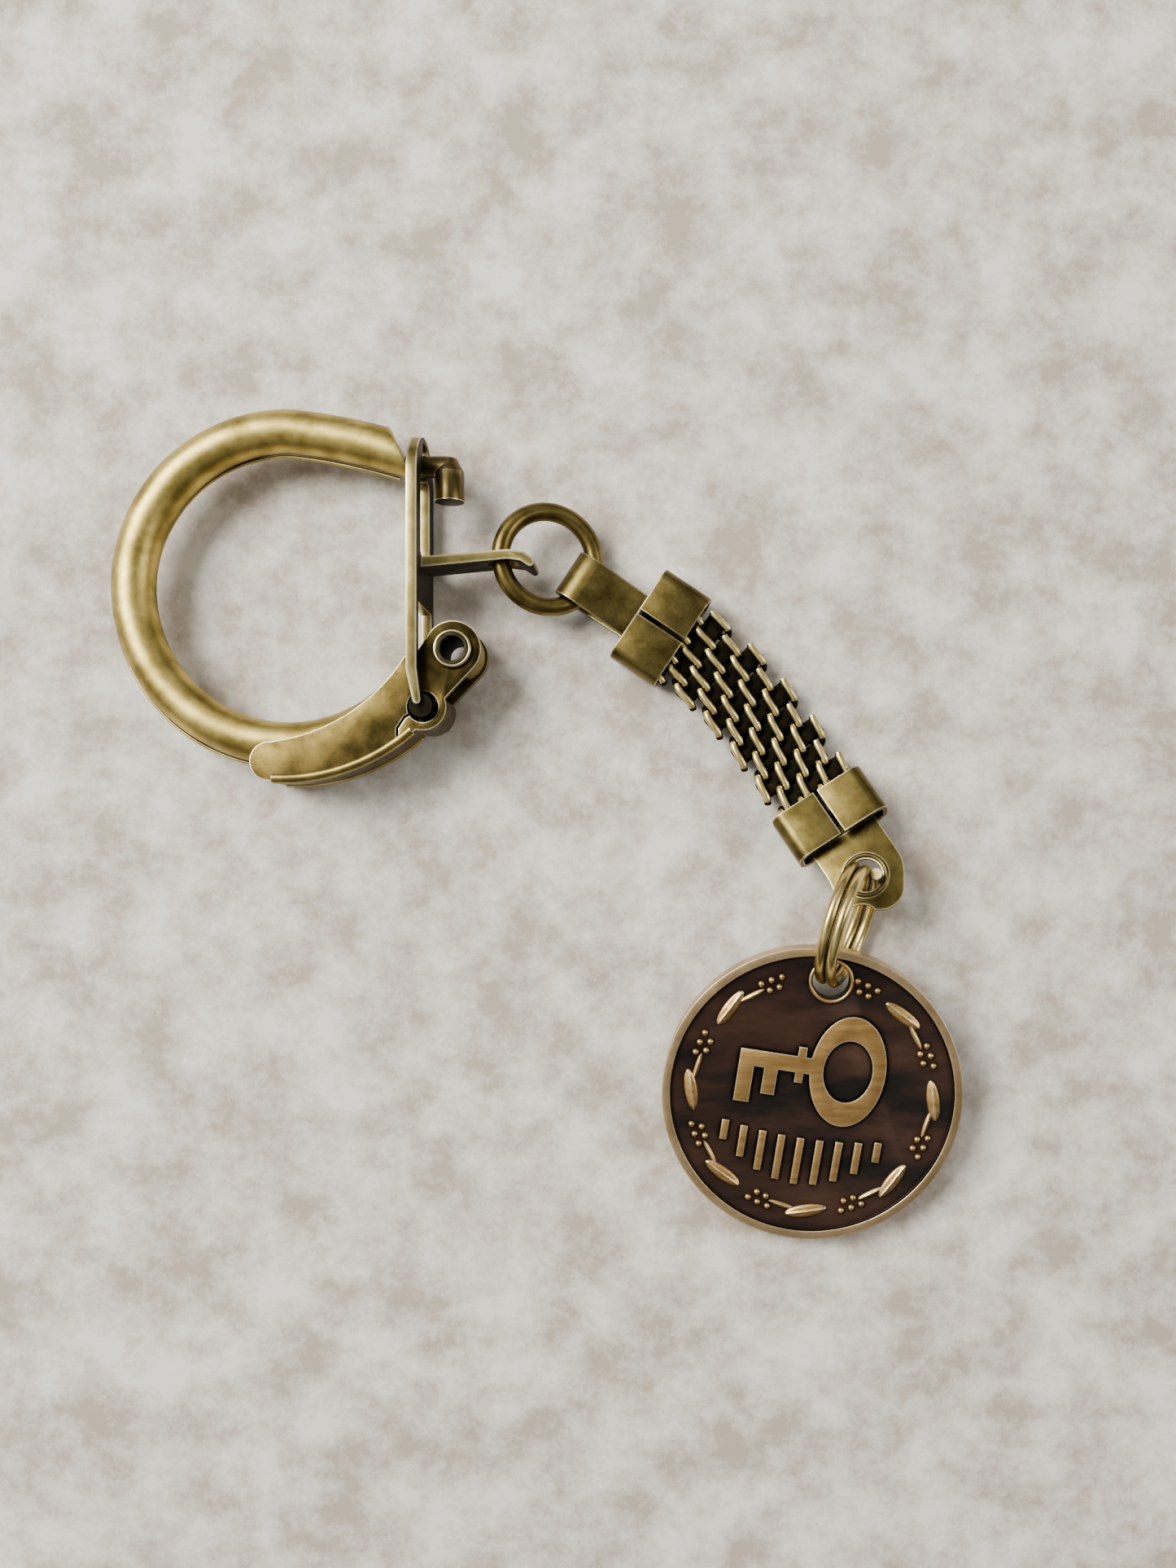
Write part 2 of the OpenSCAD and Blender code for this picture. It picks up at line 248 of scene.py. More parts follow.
def helix_path(name, radius, rise, turns, steps):
    """One vertex of a small plane, screwed into a rising line."""
    put_down_all()
    bpy.ops.mesh.primitive_plane_add(size=radius * 0.1, location=(radius, 0, 0))
    line = bpy.context.object
    line.name = name
    fix_place(line)
    work_on(line, "VERT")
    bpy.ops.mesh.select_all(action="SELECT")
    bpy.ops.mesh.merge(type="CENTER")
    done_working()
    turn = line.modifiers.new("turns", "SCREW")
    turn.axis = "Z"
    turn.angle = 2 * math.pi
    turn.screw_offset = rise
    turn.iterations = turns
    turn.steps = turn.render_steps = steps
    turn.use_merge_vertices = False
    run_modifiers(line)
    return line


def drawn_wire(line, radius, sides=2):
    """The line becomes round wire with closed ends."""
    pick_up(line)
    bpy.ops.object.convert(target="CURVE")
    wire = bpy.context.object
    wire.data.bevel_depth = radius
    wire.data.bevel_resolution = sides
    wire.data.use_fill_caps = True
    bpy.ops.object.convert(target="MESH")
    wire = bpy.context.object
    tidy_faces(wire, radius * 0.02)
    smooth(wire, 50)
    return wire


def sit_on(place, ahead, left, up):
    """Matrix that puts local x, y, z along three directions at a place."""
    m = Matrix.Identity(4)
    for i, v in enumerate((ahead, left, up)):
        m[0][i], m[1][i], m[2][i] = v
    m.translation = place
    return m


# ---- finishes -----------------------------------------------------------------
def finish_nodes(name):
    mat = bpy.data.materials.new(name)
    mat.use_nodes = True
    tree = mat.node_tree
    shader = tree.nodes["Principled BSDF"]
    return mat, tree, shader


def cloudy(tree, where, scale, detail, roughness=0.5):
    """Soft noise, from 0 to 1."""
    noise = tree.nodes.new("ShaderNodeTexNoise")
    noise.inputs["Scale"].default_value = scale
    noise.inputs["Detail"].default_value = detail
    noise.inputs["Roughness"].default_value = roughness
    tree.links.new(where, noise.inputs["Vector"])
    return noise.outputs["Fac"]


def two_tone(tree, source, low_at, low, high_at, high):
    """One colour up to a value of the source, another from a higher value on."""
    ramp = tree.nodes.new("ShaderNodeValToRGB")
    first, second = ramp.color_ramp.elements
    first.position, second.position = low_at, high_at
    first.color, second.color = (*low, 1), (*high, 1)
    tree.links.new(source, ramp.inputs["Fac"])
    return ramp.outputs["Color"]


def stretched(tree, source, low, high, to_low=0.0, to_high=1.0):
    """The source's range low to high becomes another range."""
    span = tree.nodes.new("ShaderNodeMapRange")
    for socket, value in (("From Min", low), ("From Max", high), ("To Min", to_low), ("To Max", to_high)):
        span.inputs[socket].default_value = value
    tree.links.new(source, span.inputs["Value"])
    return span.outputs["Result"]


def mixed(tree, share, under, over, how="MIX"):
    """Two colours mixed; each of the three may be a fixed value or another node's output."""
    mix = tree.nodes.new("ShaderNodeMix")
    mix.data_type = "RGBA"
    mix.blend_type = how
    share_socket, under_socket, over_socket = 0, 6, 7
    for socket, value in ((share_socket, share), (under_socket, under), (over_socket, over)):
        if isinstance(value, bpy.types.NodeSocket):
            tree.links.new(value, mix.inputs[socket])
        else:
            mix.inputs[socket].default_value = value
    return mix.outputs[2]


def compare_vectors(tree, how, one, other):
    """Dot product or distance of two vectors; the second may be fixed."""
    node = tree.nodes.new("ShaderNodeVectorMath")
    node.operation = how
    tree.links.new(one, node.inputs[0])
    if isinstance(other, bpy.types.NodeSocket):
        tree.links.new(other, node.inputs[1])
    else:
        node.inputs[1].default_value = other
    return node.outputs["Value"]


def antique_brass(name, bright, deep, dark, rough=0.3, scale=900, corner_shade_span=0.5, dark_reach=0.6 * MM,
                  rubbing_and_sheen=(0.86, 0.78, 0.50), brushed=1.0, deepest=0.30, highlight_reach=0.11 * MM,
                  shade_near=None):
    """Brass with a soft cloudy tone, fine scratches, edges painted bright as painted highlight and rubbed
    metal, and corners painted dark as painted shade and dark oxide.

    The painted shade argument is a place, two distances from it and the share of the tone that is kept
    there; near the place the tone is painted darker."""
    mat, tree, shader = finish_nodes(name)
    coords = tree.nodes.new("ShaderNodeTexCoord").outputs["Object"]
    drag = tree.nodes.new("ShaderNodeMapping")
    drag.inputs["Scale"].default_value = (1.0, brushed, 1.0)
    tree.links.new(coords, drag.inputs["Vector"])
    dragged = drag.outputs["Vector"]
    tone = two_tone(tree, cloudy(tree, dragged, scale, 5), 0.35, deep, 0.65, bright)
    if shade_near:
        # painted shade: the tone is darkened close to one place
        place, inner, outer, kept = shade_near
        far_off = compare_vectors(tree, "DISTANCE", coords, place)
        tone = mixed(tree, 1.0, tone, stretched(tree, far_off, inner, outer, kept), "MULTIPLY")
    # edges painted bright, a painted highlight that also stands for rubbed metal: where a rounded normal
    # turns away from the face's own
    rounded = tree.nodes.new("ShaderNodeBevel")
    rounded.samples = 4
    rounded.inputs["Radius"].default_value = highlight_reach
    true_side = tree.nodes.new("ShaderNodeNewGeometry").outputs["True Normal"]
    agreement = compare_vectors(tree, "DOT_PRODUCT", rounded.outputs["Normal"], true_side)
    highlighted_edges = mixed(tree, stretched(tree, agreement, 0.97, 0.80), tone, (*rubbing_and_sheen, 1))
    # corners and creases painted dark from ambient occlusion: painted shade, which also stands for the
    # dark oxide that antique brass keeps in its hollows
    corner = tree.nodes.new("ShaderNodeAmbientOcclusion")
    corner.inputs["Distance"].default_value = dark_reach
    corner.samples = 8
    unshaded_share = stretched(tree, corner.outputs["AO"], deepest, deepest + corner_shade_span)
    tree.links.new(mixed(tree, unshaded_share, (*dark, 1), highlighted_edges), shader.inputs["Base Color"])
    scratch = cloudy(tree, dragged, scale * 6, 3)
    tree.links.new(stretched(tree, scratch, 0.0, 1.0, rough - 0.06, rough + 0.12),
                   shader.inputs["Roughness"])
    bump = tree.nodes.new("ShaderNodeBump")
    bump.inputs["Strength"].default_value = 0.12
    bump.inputs["Distance"].default_value = 0.02 * MM
    tree.links.new(scratch, bump.inputs["Height"])
    tree.links.new(bump.outputs["Normal"], shader.inputs["Normal"])
    shader.inputs["Metallic"].default_value = 1.0
    return mat


brass_dark = (0.010, 0.008, 0.004)
black = (0.004, 0.004, 0.003)
cream = (0.92, 0.80, 0.44)
ring_brass = antique_brass("ring brass", (0.58, 0.45, 0.135), (0.27, 0.20, 0.048), brass_dark,
                           0.40, 650, rubbing_and_sheen=cream)
# painted shade: a darker copy of the ring's brass, for the hook end that lies under the lever and the
# plate
hook_shaded_brass = antique_brass("hook brass", (0.12, 0.088, 0.03), (0.05, 0.037, 0.013), brass_dark,
                           0.34, 700, rubbing_and_sheen=cream)
plate_brass = antique_brass("plate brass", (0.30, 0.24, 0.09), (0.17, 0.13, 0.04), brass_dark,
                            0.30, rubbing_and_sheen=cream, highlight_reach=0.24 * MM)
# painted shade: the lever is painted darker around the top of the hinge eyelet
lever_brass = antique_brass("lever brass", (0.14, 0.10, 0.028), (0.055, 0.040, 0.011), brass_dark,
                            0.38, rubbing_and_sheen=cream,
                            shade_near=(hinge + Vector((0, 0, cheek_out)), 1.6 * MM, 3.6 * MM, 0.30))
rim_brass = antique_brass("rolled rim brass", (0.36, 0.27, 0.08), (0.18, 0.13, 0.035), brass_dark,
                          0.34, rubbing_and_sheen=cream)
eyelet_brass = antique_brass("eyelet brass", (0.58, 0.49, 0.23), (0.42, 0.34, 0.14), brass_dark,
                             0.28, rubbing_and_sheen=cream)
link_brass = antique_brass("link brass", (0.21, 0.15, 0.045), (0.10, 0.073, 0.02), brass_dark, 0.32)
clasp_brass = antique_brass("clasp brass", (0.165, 0.125, 0.038), (0.080, 0.058, 0.015), brass_dark,
                            0.36, rubbing_and_sheen=cream, highlight_reach=0.14 * MM)
mesh_brass = antique_brass("mesh brass", (0.86, 0.71, 0.32), (0.62, 0.49, 0.18),
                           (0.012, 0.010, 0.006), 0.30, 1400, corner_shade_span=0.35, dark_reach=0.4 * MM)
# painted shade: near-black brass for places in shadow: the plate's cross bar, the eyelet's bore, the
# strap below its crests and the coin's hanging hole
painted_black_shade = antique_brass("painted_black_shade", (0.020, 0.016, 0.008), (0.008, 0.007, 0.005), black, 0.6,
                       dark_reach=0.5 * MM, rubbing_and_sheen=(0.03, 0.025, 0.012))
# painted shade: dark brass for faces that lie in shadow or face away from the light
painted_shade = antique_brass("sheltered brass", (0.035, 0.030, 0.016), (0.014, 0.012, 0.007), black,
                          0.5, dark_reach=0.5 * MM, rubbing_and_sheen=(0.16, 0.13, 0.06))
split_brass = antique_brass("split brass", (0.78, 0.62, 0.25), (0.48, 0.36, 0.12), brass_dark, 0.26)
coin_field = antique_brass("coin field", (0.105, 0.055, 0.038), (0.030, 0.025, 0.022),
                           (0.003, 0.003, 0.003), 0.46, 170, corner_shade_span=0.22, rubbing_and_sheen=(0.12, 0.08, 0.05),
                           brushed=3.0, deepest=0.75)
coin_relief = antique_brass("coin relief", (0.66, 0.40, 0.145), (0.46, 0.27, 0.085),
                            (0.03, 0.02, 0.012), 0.38, 500, corner_shade_span=0.3, dark_reach=0.2 * MM,
                            rubbing_and_sheen=(0.98, 0.85, 0.55), brushed=7.0, highlight_reach=0.16 * MM)
coin_rim = antique_brass("coin rim", (0.66, 0.47, 0.25), (0.46, 0.32, 0.15),
                         (0.05, 0.035, 0.02), 0.36, 500, corner_shade_span=0.3, dark_reach=0.2 * MM,
                         rubbing_and_sheen=(0.96, 0.80, 0.52), highlight_reach=0.16 * MM)


# ---- edges broken on the sheet parts -------------------------------------------
def broken_edges(node, body, mat, width, name, roll=None):
    """The CAD part again, its sharp edges rounded over; roll picks edges to turn over more."""
    piece = copy_of(frame["nodes"][node], name)
    piece.parent = None
    for k in list(piece.keys()):
        del piece[k]
    work_on(piece, "VERT")
    bpy.ops.mesh.select_all(action="SELECT")
    bpy.ops.mesh.remove_doubles(threshold=0.002 * MM)
    bpy.ops.mesh.dissolve_limited(angle_limit=math.radians(1.0))
    if roll:
        mark(piece, "EDGE", roll)
        bpy.ops.mesh.bevel(offset=0.24 * MM, segments=4, affect="EDGES", clamp_overlap=True)
    done_working()
    edge = piece.modifiers.new("broken edge", "BEVEL")
    edge.width = width
    edge.segments = 3
    edge.limit_method = "ANGLE"
    edge.angle_limit = math.radians(40)
    edge.use_clamp_overlap = True
    run_modifiers(piece)
    smooth(piece, 40)
    paint(piece, mat)
    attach(piece, body)
    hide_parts(node)
    return piece


def lever_outer_edge(p):
    return (abs(off_axis(p, ring_centre) - arm_radius) < 0.04 * MM
            and abs(p.z - mid_height) > cheek_out - 0.02 * MM)


plate = broken_edges("bridge_plate", "bridge", plate_brass, 0.14 * MM,
                     "bridge_plate_sheet")
broken_edges("lock_lever", "lever", lever_brass, 0.05 * MM, "lever_sheet",
             lever_outer_edge)
eyelet = broken_edges("hinge_eyelet", "lever", eyelet_brass, 0.07 * MM,
                      "eyelet_rolled")
broken_edges("upper_clasp", "clasp_top", clasp_brass, 0.06 * MM,
             "upper_clasp_sheet")
broken_edges("lower_clasp", "clasp_end", clasp_brass, 0.06 * MM,
             "lower_clasp_sheet")

# painted shade: the cross bar, which lies below in shadow, is painted black, and the sides facing +x and
# -y, away from the light, are painted near-black
bar_reach = 0.64 * MM
finish_part_of(plate, painted_black_shade, lambda p, n: off_axis(p, notch) < bar_reach)
finish_part_of(plate, painted_shade, lambda p, n: n.x > 0.8 and p.x < plate_side + plate_reach)
finish_part_of(plate, painted_shade, lambda p, n: n.y < -0.6 and p.x > plate_side + plate_reach)
# painted shade: the whole eyelet is painted dark, as if in shadow, and its bore black
bore_reach = 0.66 * MM
paint(eyelet, painted_shade)
finish_part_of(eyelet, painted_black_shade, lambda p, n: off_axis(p, hinge) < bore_reach and abs(n.z) < 0.5)


def eyelet_roll():
    """Thin rolled edge of the eyelet's flange, above and below; it slopes towards the bore."""
    roll_radius = 0.92 * MM
    roll_wire = 0.105 * MM
    roll_level = cheek_out + 0.16 * MM
    sloped_within = 0.86 * MM
    slope_drop = 0.06 * MM
    for side, name in ((1, "eyelet_roll_upper"), (-1, "eyelet_roll_lower")):
        put_down_all()
        bpy.ops.mesh.primitive_torus_add(
            major_segments=96, minor_segments=16, major_radius=roll_radius, minor_radius=roll_wire,
            location=hinge + Vector((0, 0, side * roll_level)))
        roll = bpy.context.object
        fix_place(roll)
        work_on(roll, "VERT")
        mark(roll, "VERT", lambda p: off_axis(p, hinge) < sloped_within)
        bpy.ops.transform.translate(value=(0, 0, -side * slope_drop))
        done_working()
        smooth(roll, 60)
        roll.name = name
        paint(roll, eyelet_brass)
        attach(roll, "lever")


eyelet_roll()


# ---- woven strap ---------------------------------------------------------------
def flat_spiral():
    """One row: round wire wound into a flattened spiral, with a black block inside it as painted shade
    between the strands.
    """
    strands_across = 3.66
    # degrees of turning: where the winding begins, and what is kept of it on each side
    begun, kept_left, kept_right = 810, 567, 610
    pitch = (mesh_wide - 2 * mesh_wire) / strands_across
    bend = mesh_thick / 2 - mesh_wire
    first, last = pitch * kept_left / 360, -pitch * kept_right / 360
    line = helix_path("strap row", bend, -pitch, turns_across + 1, 20)
    # the spiral's length runs across the strap (local y), strands along it (local x)
    line.rotation_euler = (math.radians(-90), 0, 0)
    fix_place(line)
    line.location = (0, pitch * begun / 360, 0)
    fix_place(line)
    work_on(line, "VERT")
    mark(line, "VERT", lambda p: not last < p.y < first)
    bpy.ops.mesh.delete(type="VERT")
    stretch = coil_long / 2 - mesh_wire - bend
    strand_slant = pitch * 0.03
    mark(line, "VERT", lambda p: p.x > 1e-7)
    bpy.ops.transform.translate(value=(stretch, -strand_slant, 0))
    mark(line, "VERT", lambda p: p.x <= 1e-7)
    bpy.ops.transform.translate(value=(-stretch, 0, 0))
    done_working()
    wire = drawn_wire(line, mesh_wire, 3)

    # painted shade: a black block inside the spiral, so that the gaps between the strands read as shadow
    core_long, core_thick, core_sunk = 1.14 * MM, 0.62 * MM, 0.1 * MM
    put_down_all()
    bpy.ops.mesh.primitive_cube_add(size=1, location=(0, 0, -core_sunk))
    shade_block = bpy.context.object
    shade_block.scale = (core_long, mesh_wide - 4 * mesh_wire, core_thick)
    fix_place(shade_block)
    soft = shade_block.modifiers.new("soft", "BEVEL")
    soft.width = 0.18 * MM
    soft.segments = 3
    run_modifiers(shade_block)
    smooth(shade_block)

    row = join_up("strap row", [wire, shade_block])
    # only the crests of the wire keep the bright brass; the rest of the wire and the block inside are
    # painted black as painted shade
    paint(row, mesh_brass)
    finish_part_of(row, painted_black_shade, lambda p, n: p.z < bend + mesh_wire * 0.1)
    return row, pitch


row_pattern, strand_pitch = flat_spiral()
row_joints = [joint_place("mesh_bend_%02d" % k) for k in range(1, 11)]


def row_place(k):
    """Middle and directions of row k; rows 0 and 10 sit inside the clasps."""
    first_row_dip = 0.035
    last_row_slope = math.radians(16)
    step = (row_joints[1] - row_joints[0]).length
    upright = Vector((0, 0, 1))
    if k == 0:
        left = joint_axis("mesh_bend_01")
        ahead = (left.cross(upright) - upright * first_row_dip).normalized()
        middle = row_joints[0] - ahead * step / 2
    elif k == 10:
        left = joint_axis("mesh_bend_10")
        ahead = (left.cross(upright) * math.cos(last_row_slope)
                 + upright * math.sin(last_row_slope)).normalized()
        middle = row_joints[9] + ahead * step / 2
    else:
        middle = (row_joints[k - 1] + row_joints[k]) / 2
        ahead = (row_joints[k] - row_joints[k - 1]).normalized()
        left = upright.cross(ahead).normalized()
    return middle, ahead, left, ahead.cross(left)


def weave_strap():
    """Every other row is shifted by half a strand, so that the strands interlock."""
    quarter_strand = 0.25 * strand_pitch
    for k in range(11):
        middle, ahead, left, up = row_place(k)
        row = copy_of(row_pattern, "mesh_row_%02d_wire" % k)
        shift = quarter_strand if k % 2 else -quarter_strand
        row.matrix_world = sit_on(middle + left * shift, ahead, left, up)
        fix_place(row)
        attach(row, "clasp_top" if k == 0 else "clasp_end" if k == 10 else "row_%d" % k)
        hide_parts("mesh_row_%02d" % k)
    bpy.data.objects.remove(row_pattern)


weave_strap()


# ---- split ring ----------------------------------------------------------------
def split_ring_coil():
    """Two turns of wire that lie on each other, with open ends."""
    rise = 2 * split_wire * 1.02
    line = helix_path("split ring line", split_radius, rise, 2, 64)
    line.location = (0, 0, -rise)
    fix_place(line)
    coil = drawn_wire(line, split_wire, 4)
    normal = joint_axis("split_swing")
    ahead = Vector((0.323, 0.9464, 0)).normalized()
    up = normal.cross(ahead).normalized()
    coil.matrix_world = sit_on(joint_place("split_swing"), ahead, up, ahead.cross(up))
    fix_place(coil)
    coil.name = "split_ring_coil"
    paint(coil, split_brass)
    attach(coil, "split")
    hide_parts("split_ring")


split_ring_coil()


# ---- key ring: rolled tube with the two lips of its seam ------------------------
def arc_line(centre, radius, first, last, steps):
    """The stretch of a circle between two angles, as a line of edges."""
    put_down_all()
    bpy.ops.mesh.primitive_circle_add(vertices=steps, radius=radius, location=centre)
    line = bpy.context.object
    fix_place(line)
    work_on(line, "VERT")
    mark(line, "VERT", lambda p: not first <= around_axis(p, centre) <= last)
    bpy.ops.mesh.delete(type="VERT")
    done_working()
    return line


def bow_and_tail(name, aside, outward, bow_end, tail_end):
    """The ring's line from arm to tail, moved aside and outward; its two curves flow together."""
    bow_steps, tail_steps, eased = 144, 1080, 40
    line = join_up(name, [
        arc_line(ring_centre + aside, ring_radius + outward, tail_join - join_lap, bow_end,
                 bow_steps),
        arc_line(tail_centre + aside, tail_bend + outward, tail_end, tail_join + join_lap,
                 tail_steps)])
    work_on(line, "VERT")
    bpy.ops.mesh.select_all(action="SELECT")
    bpy.ops.mesh.remove_doubles(threshold=0.1 * MM)
    eased_half = 2.2 * MM
    mark(line, "VERT", lambda p: abs(p.x - ring_centre.x - eased_half) < eased_half
         and p.y > ring_centre.y)
    bpy.ops.mesh.vertices_smooth(factor=0.5, repeat=eased)
    done_working()
    return line


def hook_end(name):
    """Arm, neck and head: everything of the CAD ring but its bow."""
    piece = broken_edges("ring_bow", "key_ring", ring_brass, 0.05 * MM, name)
    tail_above = ring_centre.y + 4 * MM
    neck_from = plate_side - 0.05 * MM
    head_from = plate_side + 1.2 * MM
    bow_from, bow_to = tail_join - 2, arm_join - 0.5

    def on_bow(p, n):
        return (bow_from < around_axis(p, ring_centre) < bow_to
                or (p.y > tail_above and p.x < neck_from))
    work_on(piece)
    mark(piece, "FACE", on_bow)
    bpy.ops.mesh.delete(type="FACE")
    done_working()
    # painted shade: above the ring's middle the hook end gets a darker copy of the ring's brass, and the
    # head's faces towards -y are painted dark
    paint(piece, hook_shaded_brass)
    finish_part_of(piece, ring_brass, lambda p, n: p.y < ring_centre.y)
    finish_part_of(piece, painted_shade, lambda p, n: n.y < -0.9 and p.x > head_from)
    return piece


def ring_tube():
    """Bow and tail as one tube, cut square to the plate and once more at a slant."""
    tail_end = 72.6
    line = bow_and_tail("ring line", Vector((0, 0, 0)), 0, arm_join, tail_end)
    tube = drawn_wire(line, tube_radius, 10)
    slant = math.radians(27)
    tube_end = plate_side - 0.22 * MM
    slant_from = neck_level - 0.3 * MM
    work_on(tube)
    for cut, away in ((Vector((tube_end, 0, 0)), Vector((1, 0, 0))),
                      (Vector((tube_end, slant_from, 0)),
                       Vector((math.cos(slant), math.sin(slant), 0)))):
        bpy.ops.mesh.select_all(action="SELECT")
        bpy.ops.mesh.bisect(plane_co=cut, plane_no=away, use_fill=True, clear_outer=True)
    done_working()
    tidy_faces(tube)
    round_over(tube, 0.05 * MM, 45)
    paint(tube, ring_brass)
    return tube


def key_ring():
    ring = join_up("ring_bow_rolled", [hook_end("hook end"), ring_tube()])
    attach(ring, "key_ring")
    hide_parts("ring_bow")
    # the seam's two lips, low on the outer and on the inner side of the tube
    aside = Vector((-0.10, -0.15, -0.30)) * MM
    reach = tube_radius - 0.06 * MM
    outer_from, outer_to, inner_bow_end, inner_tail_end = 120, 296, 280, 73.2
    outer = arc_line(ring_centre + aside, ring_radius + reach, outer_from, outer_to, 360)
    inner = bow_and_tail("inner lip line", aside, -reach, inner_bow_end, inner_tail_end)
    for line, name in ((outer, "ring_lip_outer"), (inner, "ring_lip_inner")):
        lip = drawn_wire(line, 0.10 * MM, 3)
        lip.name = name
        paint(lip, ring_brass)
        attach(lip, "key_ring")


key_ring()


def lever_rim():
    """Rolled rim along the lever's outer edge, on both cheeks."""
    rim_wire = 0.29 * MM
    rim_level = cheek_out - 0.22 * MM
    rim_radius = arm_radius - 0.18 * MM
    tail_side, notch_side = 266, 312
    for side, name in ((1, "lever_rim_upper"), (-1, "lever_rim_lower")):
        at = ring_centre + Vector((0, 0, side * rim_level))
        rim = drawn_wire(arc_line(at, rim_radius, tail_side, notch_side, 360), rim_wire, 5)
        rim.name = name
        paint(rim, rim_brass)
        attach(rim, "lever")


lever_rim()


# ---- coin ----------------------------------------------------------------------
def bar(size_x, size_y, size_z, x, y, z):
    """A block: its length, width and place on the coin in mm, height and level in metres."""
    put_down_all()
    bpy.ops.mesh.primitive_cube_add(size=1, location=(x * MM, y * MM, z))
    piece = bpy.context.object
    piece.scale = (size_x * MM, size_y * MM, size_z)
    fix_place(piece)
    return piece


def oval_rod(radius, longer, tall, x, y, z):
    """An upright rod, oval along y; radius and place in mm, height and level in metres."""
    put_down_all()
    bpy.ops.mesh.primitive_cylinder_add(vertices=96, radius=radius * MM, depth=tall,
                                        location=(x * MM, y * MM, z))
    piece = bpy.context.object
    piece.scale = (1, longer, 1)
    fix_place(piece)
    return piece


def cut_or_join(piece, tool, how):
    step = piece.modifiers.new(how, "BOOLEAN")
    step.operation = how
    step.solver = "EXACT"
    step.object = tool
    run_modifiers(piece)
    bpy.data.objects.remove(tool)
    tidy_faces(piece)
    return piece


def coin_blank(rim, sunk):
    """Disc with a raised rim on both sides and the hanging hole."""
    put_down_all()
    bpy.ops.mesh.primitive_cylinder_add(vertices=192, radius=coin_radius, depth=coin_thick)
    blank = bpy.context.object
    work_on(blank)
    for side in (1, -1):
        mark(blank, "FACE", lambda p, n: n.z * side > 0.9)
        bpy.ops.mesh.inset(thickness=rim, depth=0)
        bpy.ops.mesh.inset(thickness=0.07 * MM, depth=-sunk)
    done_working()
    put_down_all()
    bpy.ops.mesh.primitive_cylinder_add(vertices=64, radius=coin_hole_radius, depth=3 * coin_thick,
                                        location=(0, coin_hole_off, 0))
    cut_or_join(blank, bpy.context.object, "DIFFERENCE")
    return round_over(blank, 0.07 * MM)


def key_emblem(level, tall):
    """A plain old-fashioned key lying on its side."""
    bow_x, key_line = 1.7, 1.6
    bow = oval_rod(2.05, 1.5, tall, bow_x, key_line, level)
    eye = oval_rod(1.32, 1.3, 3 * tall, bow_x, key_line, level)
    cut_or_join(bow, eye, "DIFFERENCE")
    shaft = bar(4.3, 0.9, tall, -2.05, key_line, level)
    collar = bar(0.45, 2.0, tall, -0.875, key_line, level)
    long_tooth = bar(0.85, 2.5, tall, -3.775, 0.35, level)
    short_tooth = bar(0.75, 1.9, tall, -2.425, 0.65, level)
    for part in (shaft, collar, long_tooth, short_tooth):
        cut_or_join(bow, part, "UNION")
    return round_over(bow, 0.07 * MM)


def leaf(long, wide, tall, x, turn, radius, around, level):
    """Half-raised leaf blade lying along the rim."""
    put_down_all()
    bpy.ops.mesh.primitive_uv_sphere_add(segments=24, ring_count=12, radius=1)
    blade = bpy.context.object
    blade.scale = (long * MM, wide * MM, tall)
    fix_place(blade)
    work_on(blade, "VERT")
    # a fold along the middle
    mark(blade, "VERT", lambda p: abs(p.y) < wide * MM * 0.12 and p.z > 0)
    bpy.ops.transform.translate(value=(0, 0, tall * 0.35))
    done_working()
    blade.matrix_world = (Matrix.Rotation(math.radians(around), 4, "Z")
                          @ Matrix.Translation((radius * MM, 0, level))
                          @ Matrix.Rotation(math.radians(90 + turn), 4, "Z")
                          @ Matrix.Translation((x * MM, 0, 0)))
    fix_place(blade)
    smooth(blade, 60)
    return blade


def dot(radius, around, level):
    put_down_all()
    bpy.ops.mesh.primitive_uv_sphere_add(segments=16, ring_count=8, radius=0.18 * MM)
    bead = bpy.context.object
    bead.scale = (1, 1, 0.9)
    bead.location = (radius * MM * math.cos(math.radians(around)),
                     radius * MM * math.sin(math.radians(around)), level)
    fix_place(bead)
    smooth(bead, 60)
    return bead


def hole_collar(level):
    """Thin raised bead round the hanging hole."""
    put_down_all()
    bpy.ops.mesh.primitive_torus_add(
        major_segments=64, minor_segments=12, major_radius=coin_hole_radius + 0.12 * MM,
        minor_radius=0.10 * MM, location=(0, coin_hole_off, level))
    collar = bpy.context.object
    fix_place(collar)
    smooth(collar, 60)
    return collar


def bar_row(level, tall):
    """Nine bars under the key; the middle ones are longest and stand highest."""
    bars = []
    for j in range(-4, 5):
        outness = j * j / 16
        long = 2.65 - 1.5 * outness
        top = -2.45 + 0.4 * outness
        bars.append(round_over(bar(0.42, long, tall, j * 1.05 - 0.2, top - long / 2, level),
                               0.06 * MM))
    return bars


def wreath(level):
    """Leaf pairs and groups of five dots along the rim; no leaf where the hanging hole is."""
    leaves_at, dots_at, apart, by_the_hole = 5, 28, 45, 2
    pieces = []
    for i in range(8):
        if i != by_the_hole:
            around = leaves_at + apart * i
            pieces.append(leaf(1.15, 0.36, 0.15 * MM, 0.15, 12, 6.6, around, level))
            pieces.append(leaf(0.75, 0.15, 0.12 * MM, -1.25, -14, 6.6, around, level))
        for radius, row in ((6.75, (-1, 0, 1)), (6.25, (-0.5, 0.5))):
            for j in row:
                pieces.append(dot(radius, dots_at + apart * i + 5 * j, level))
    return pieces


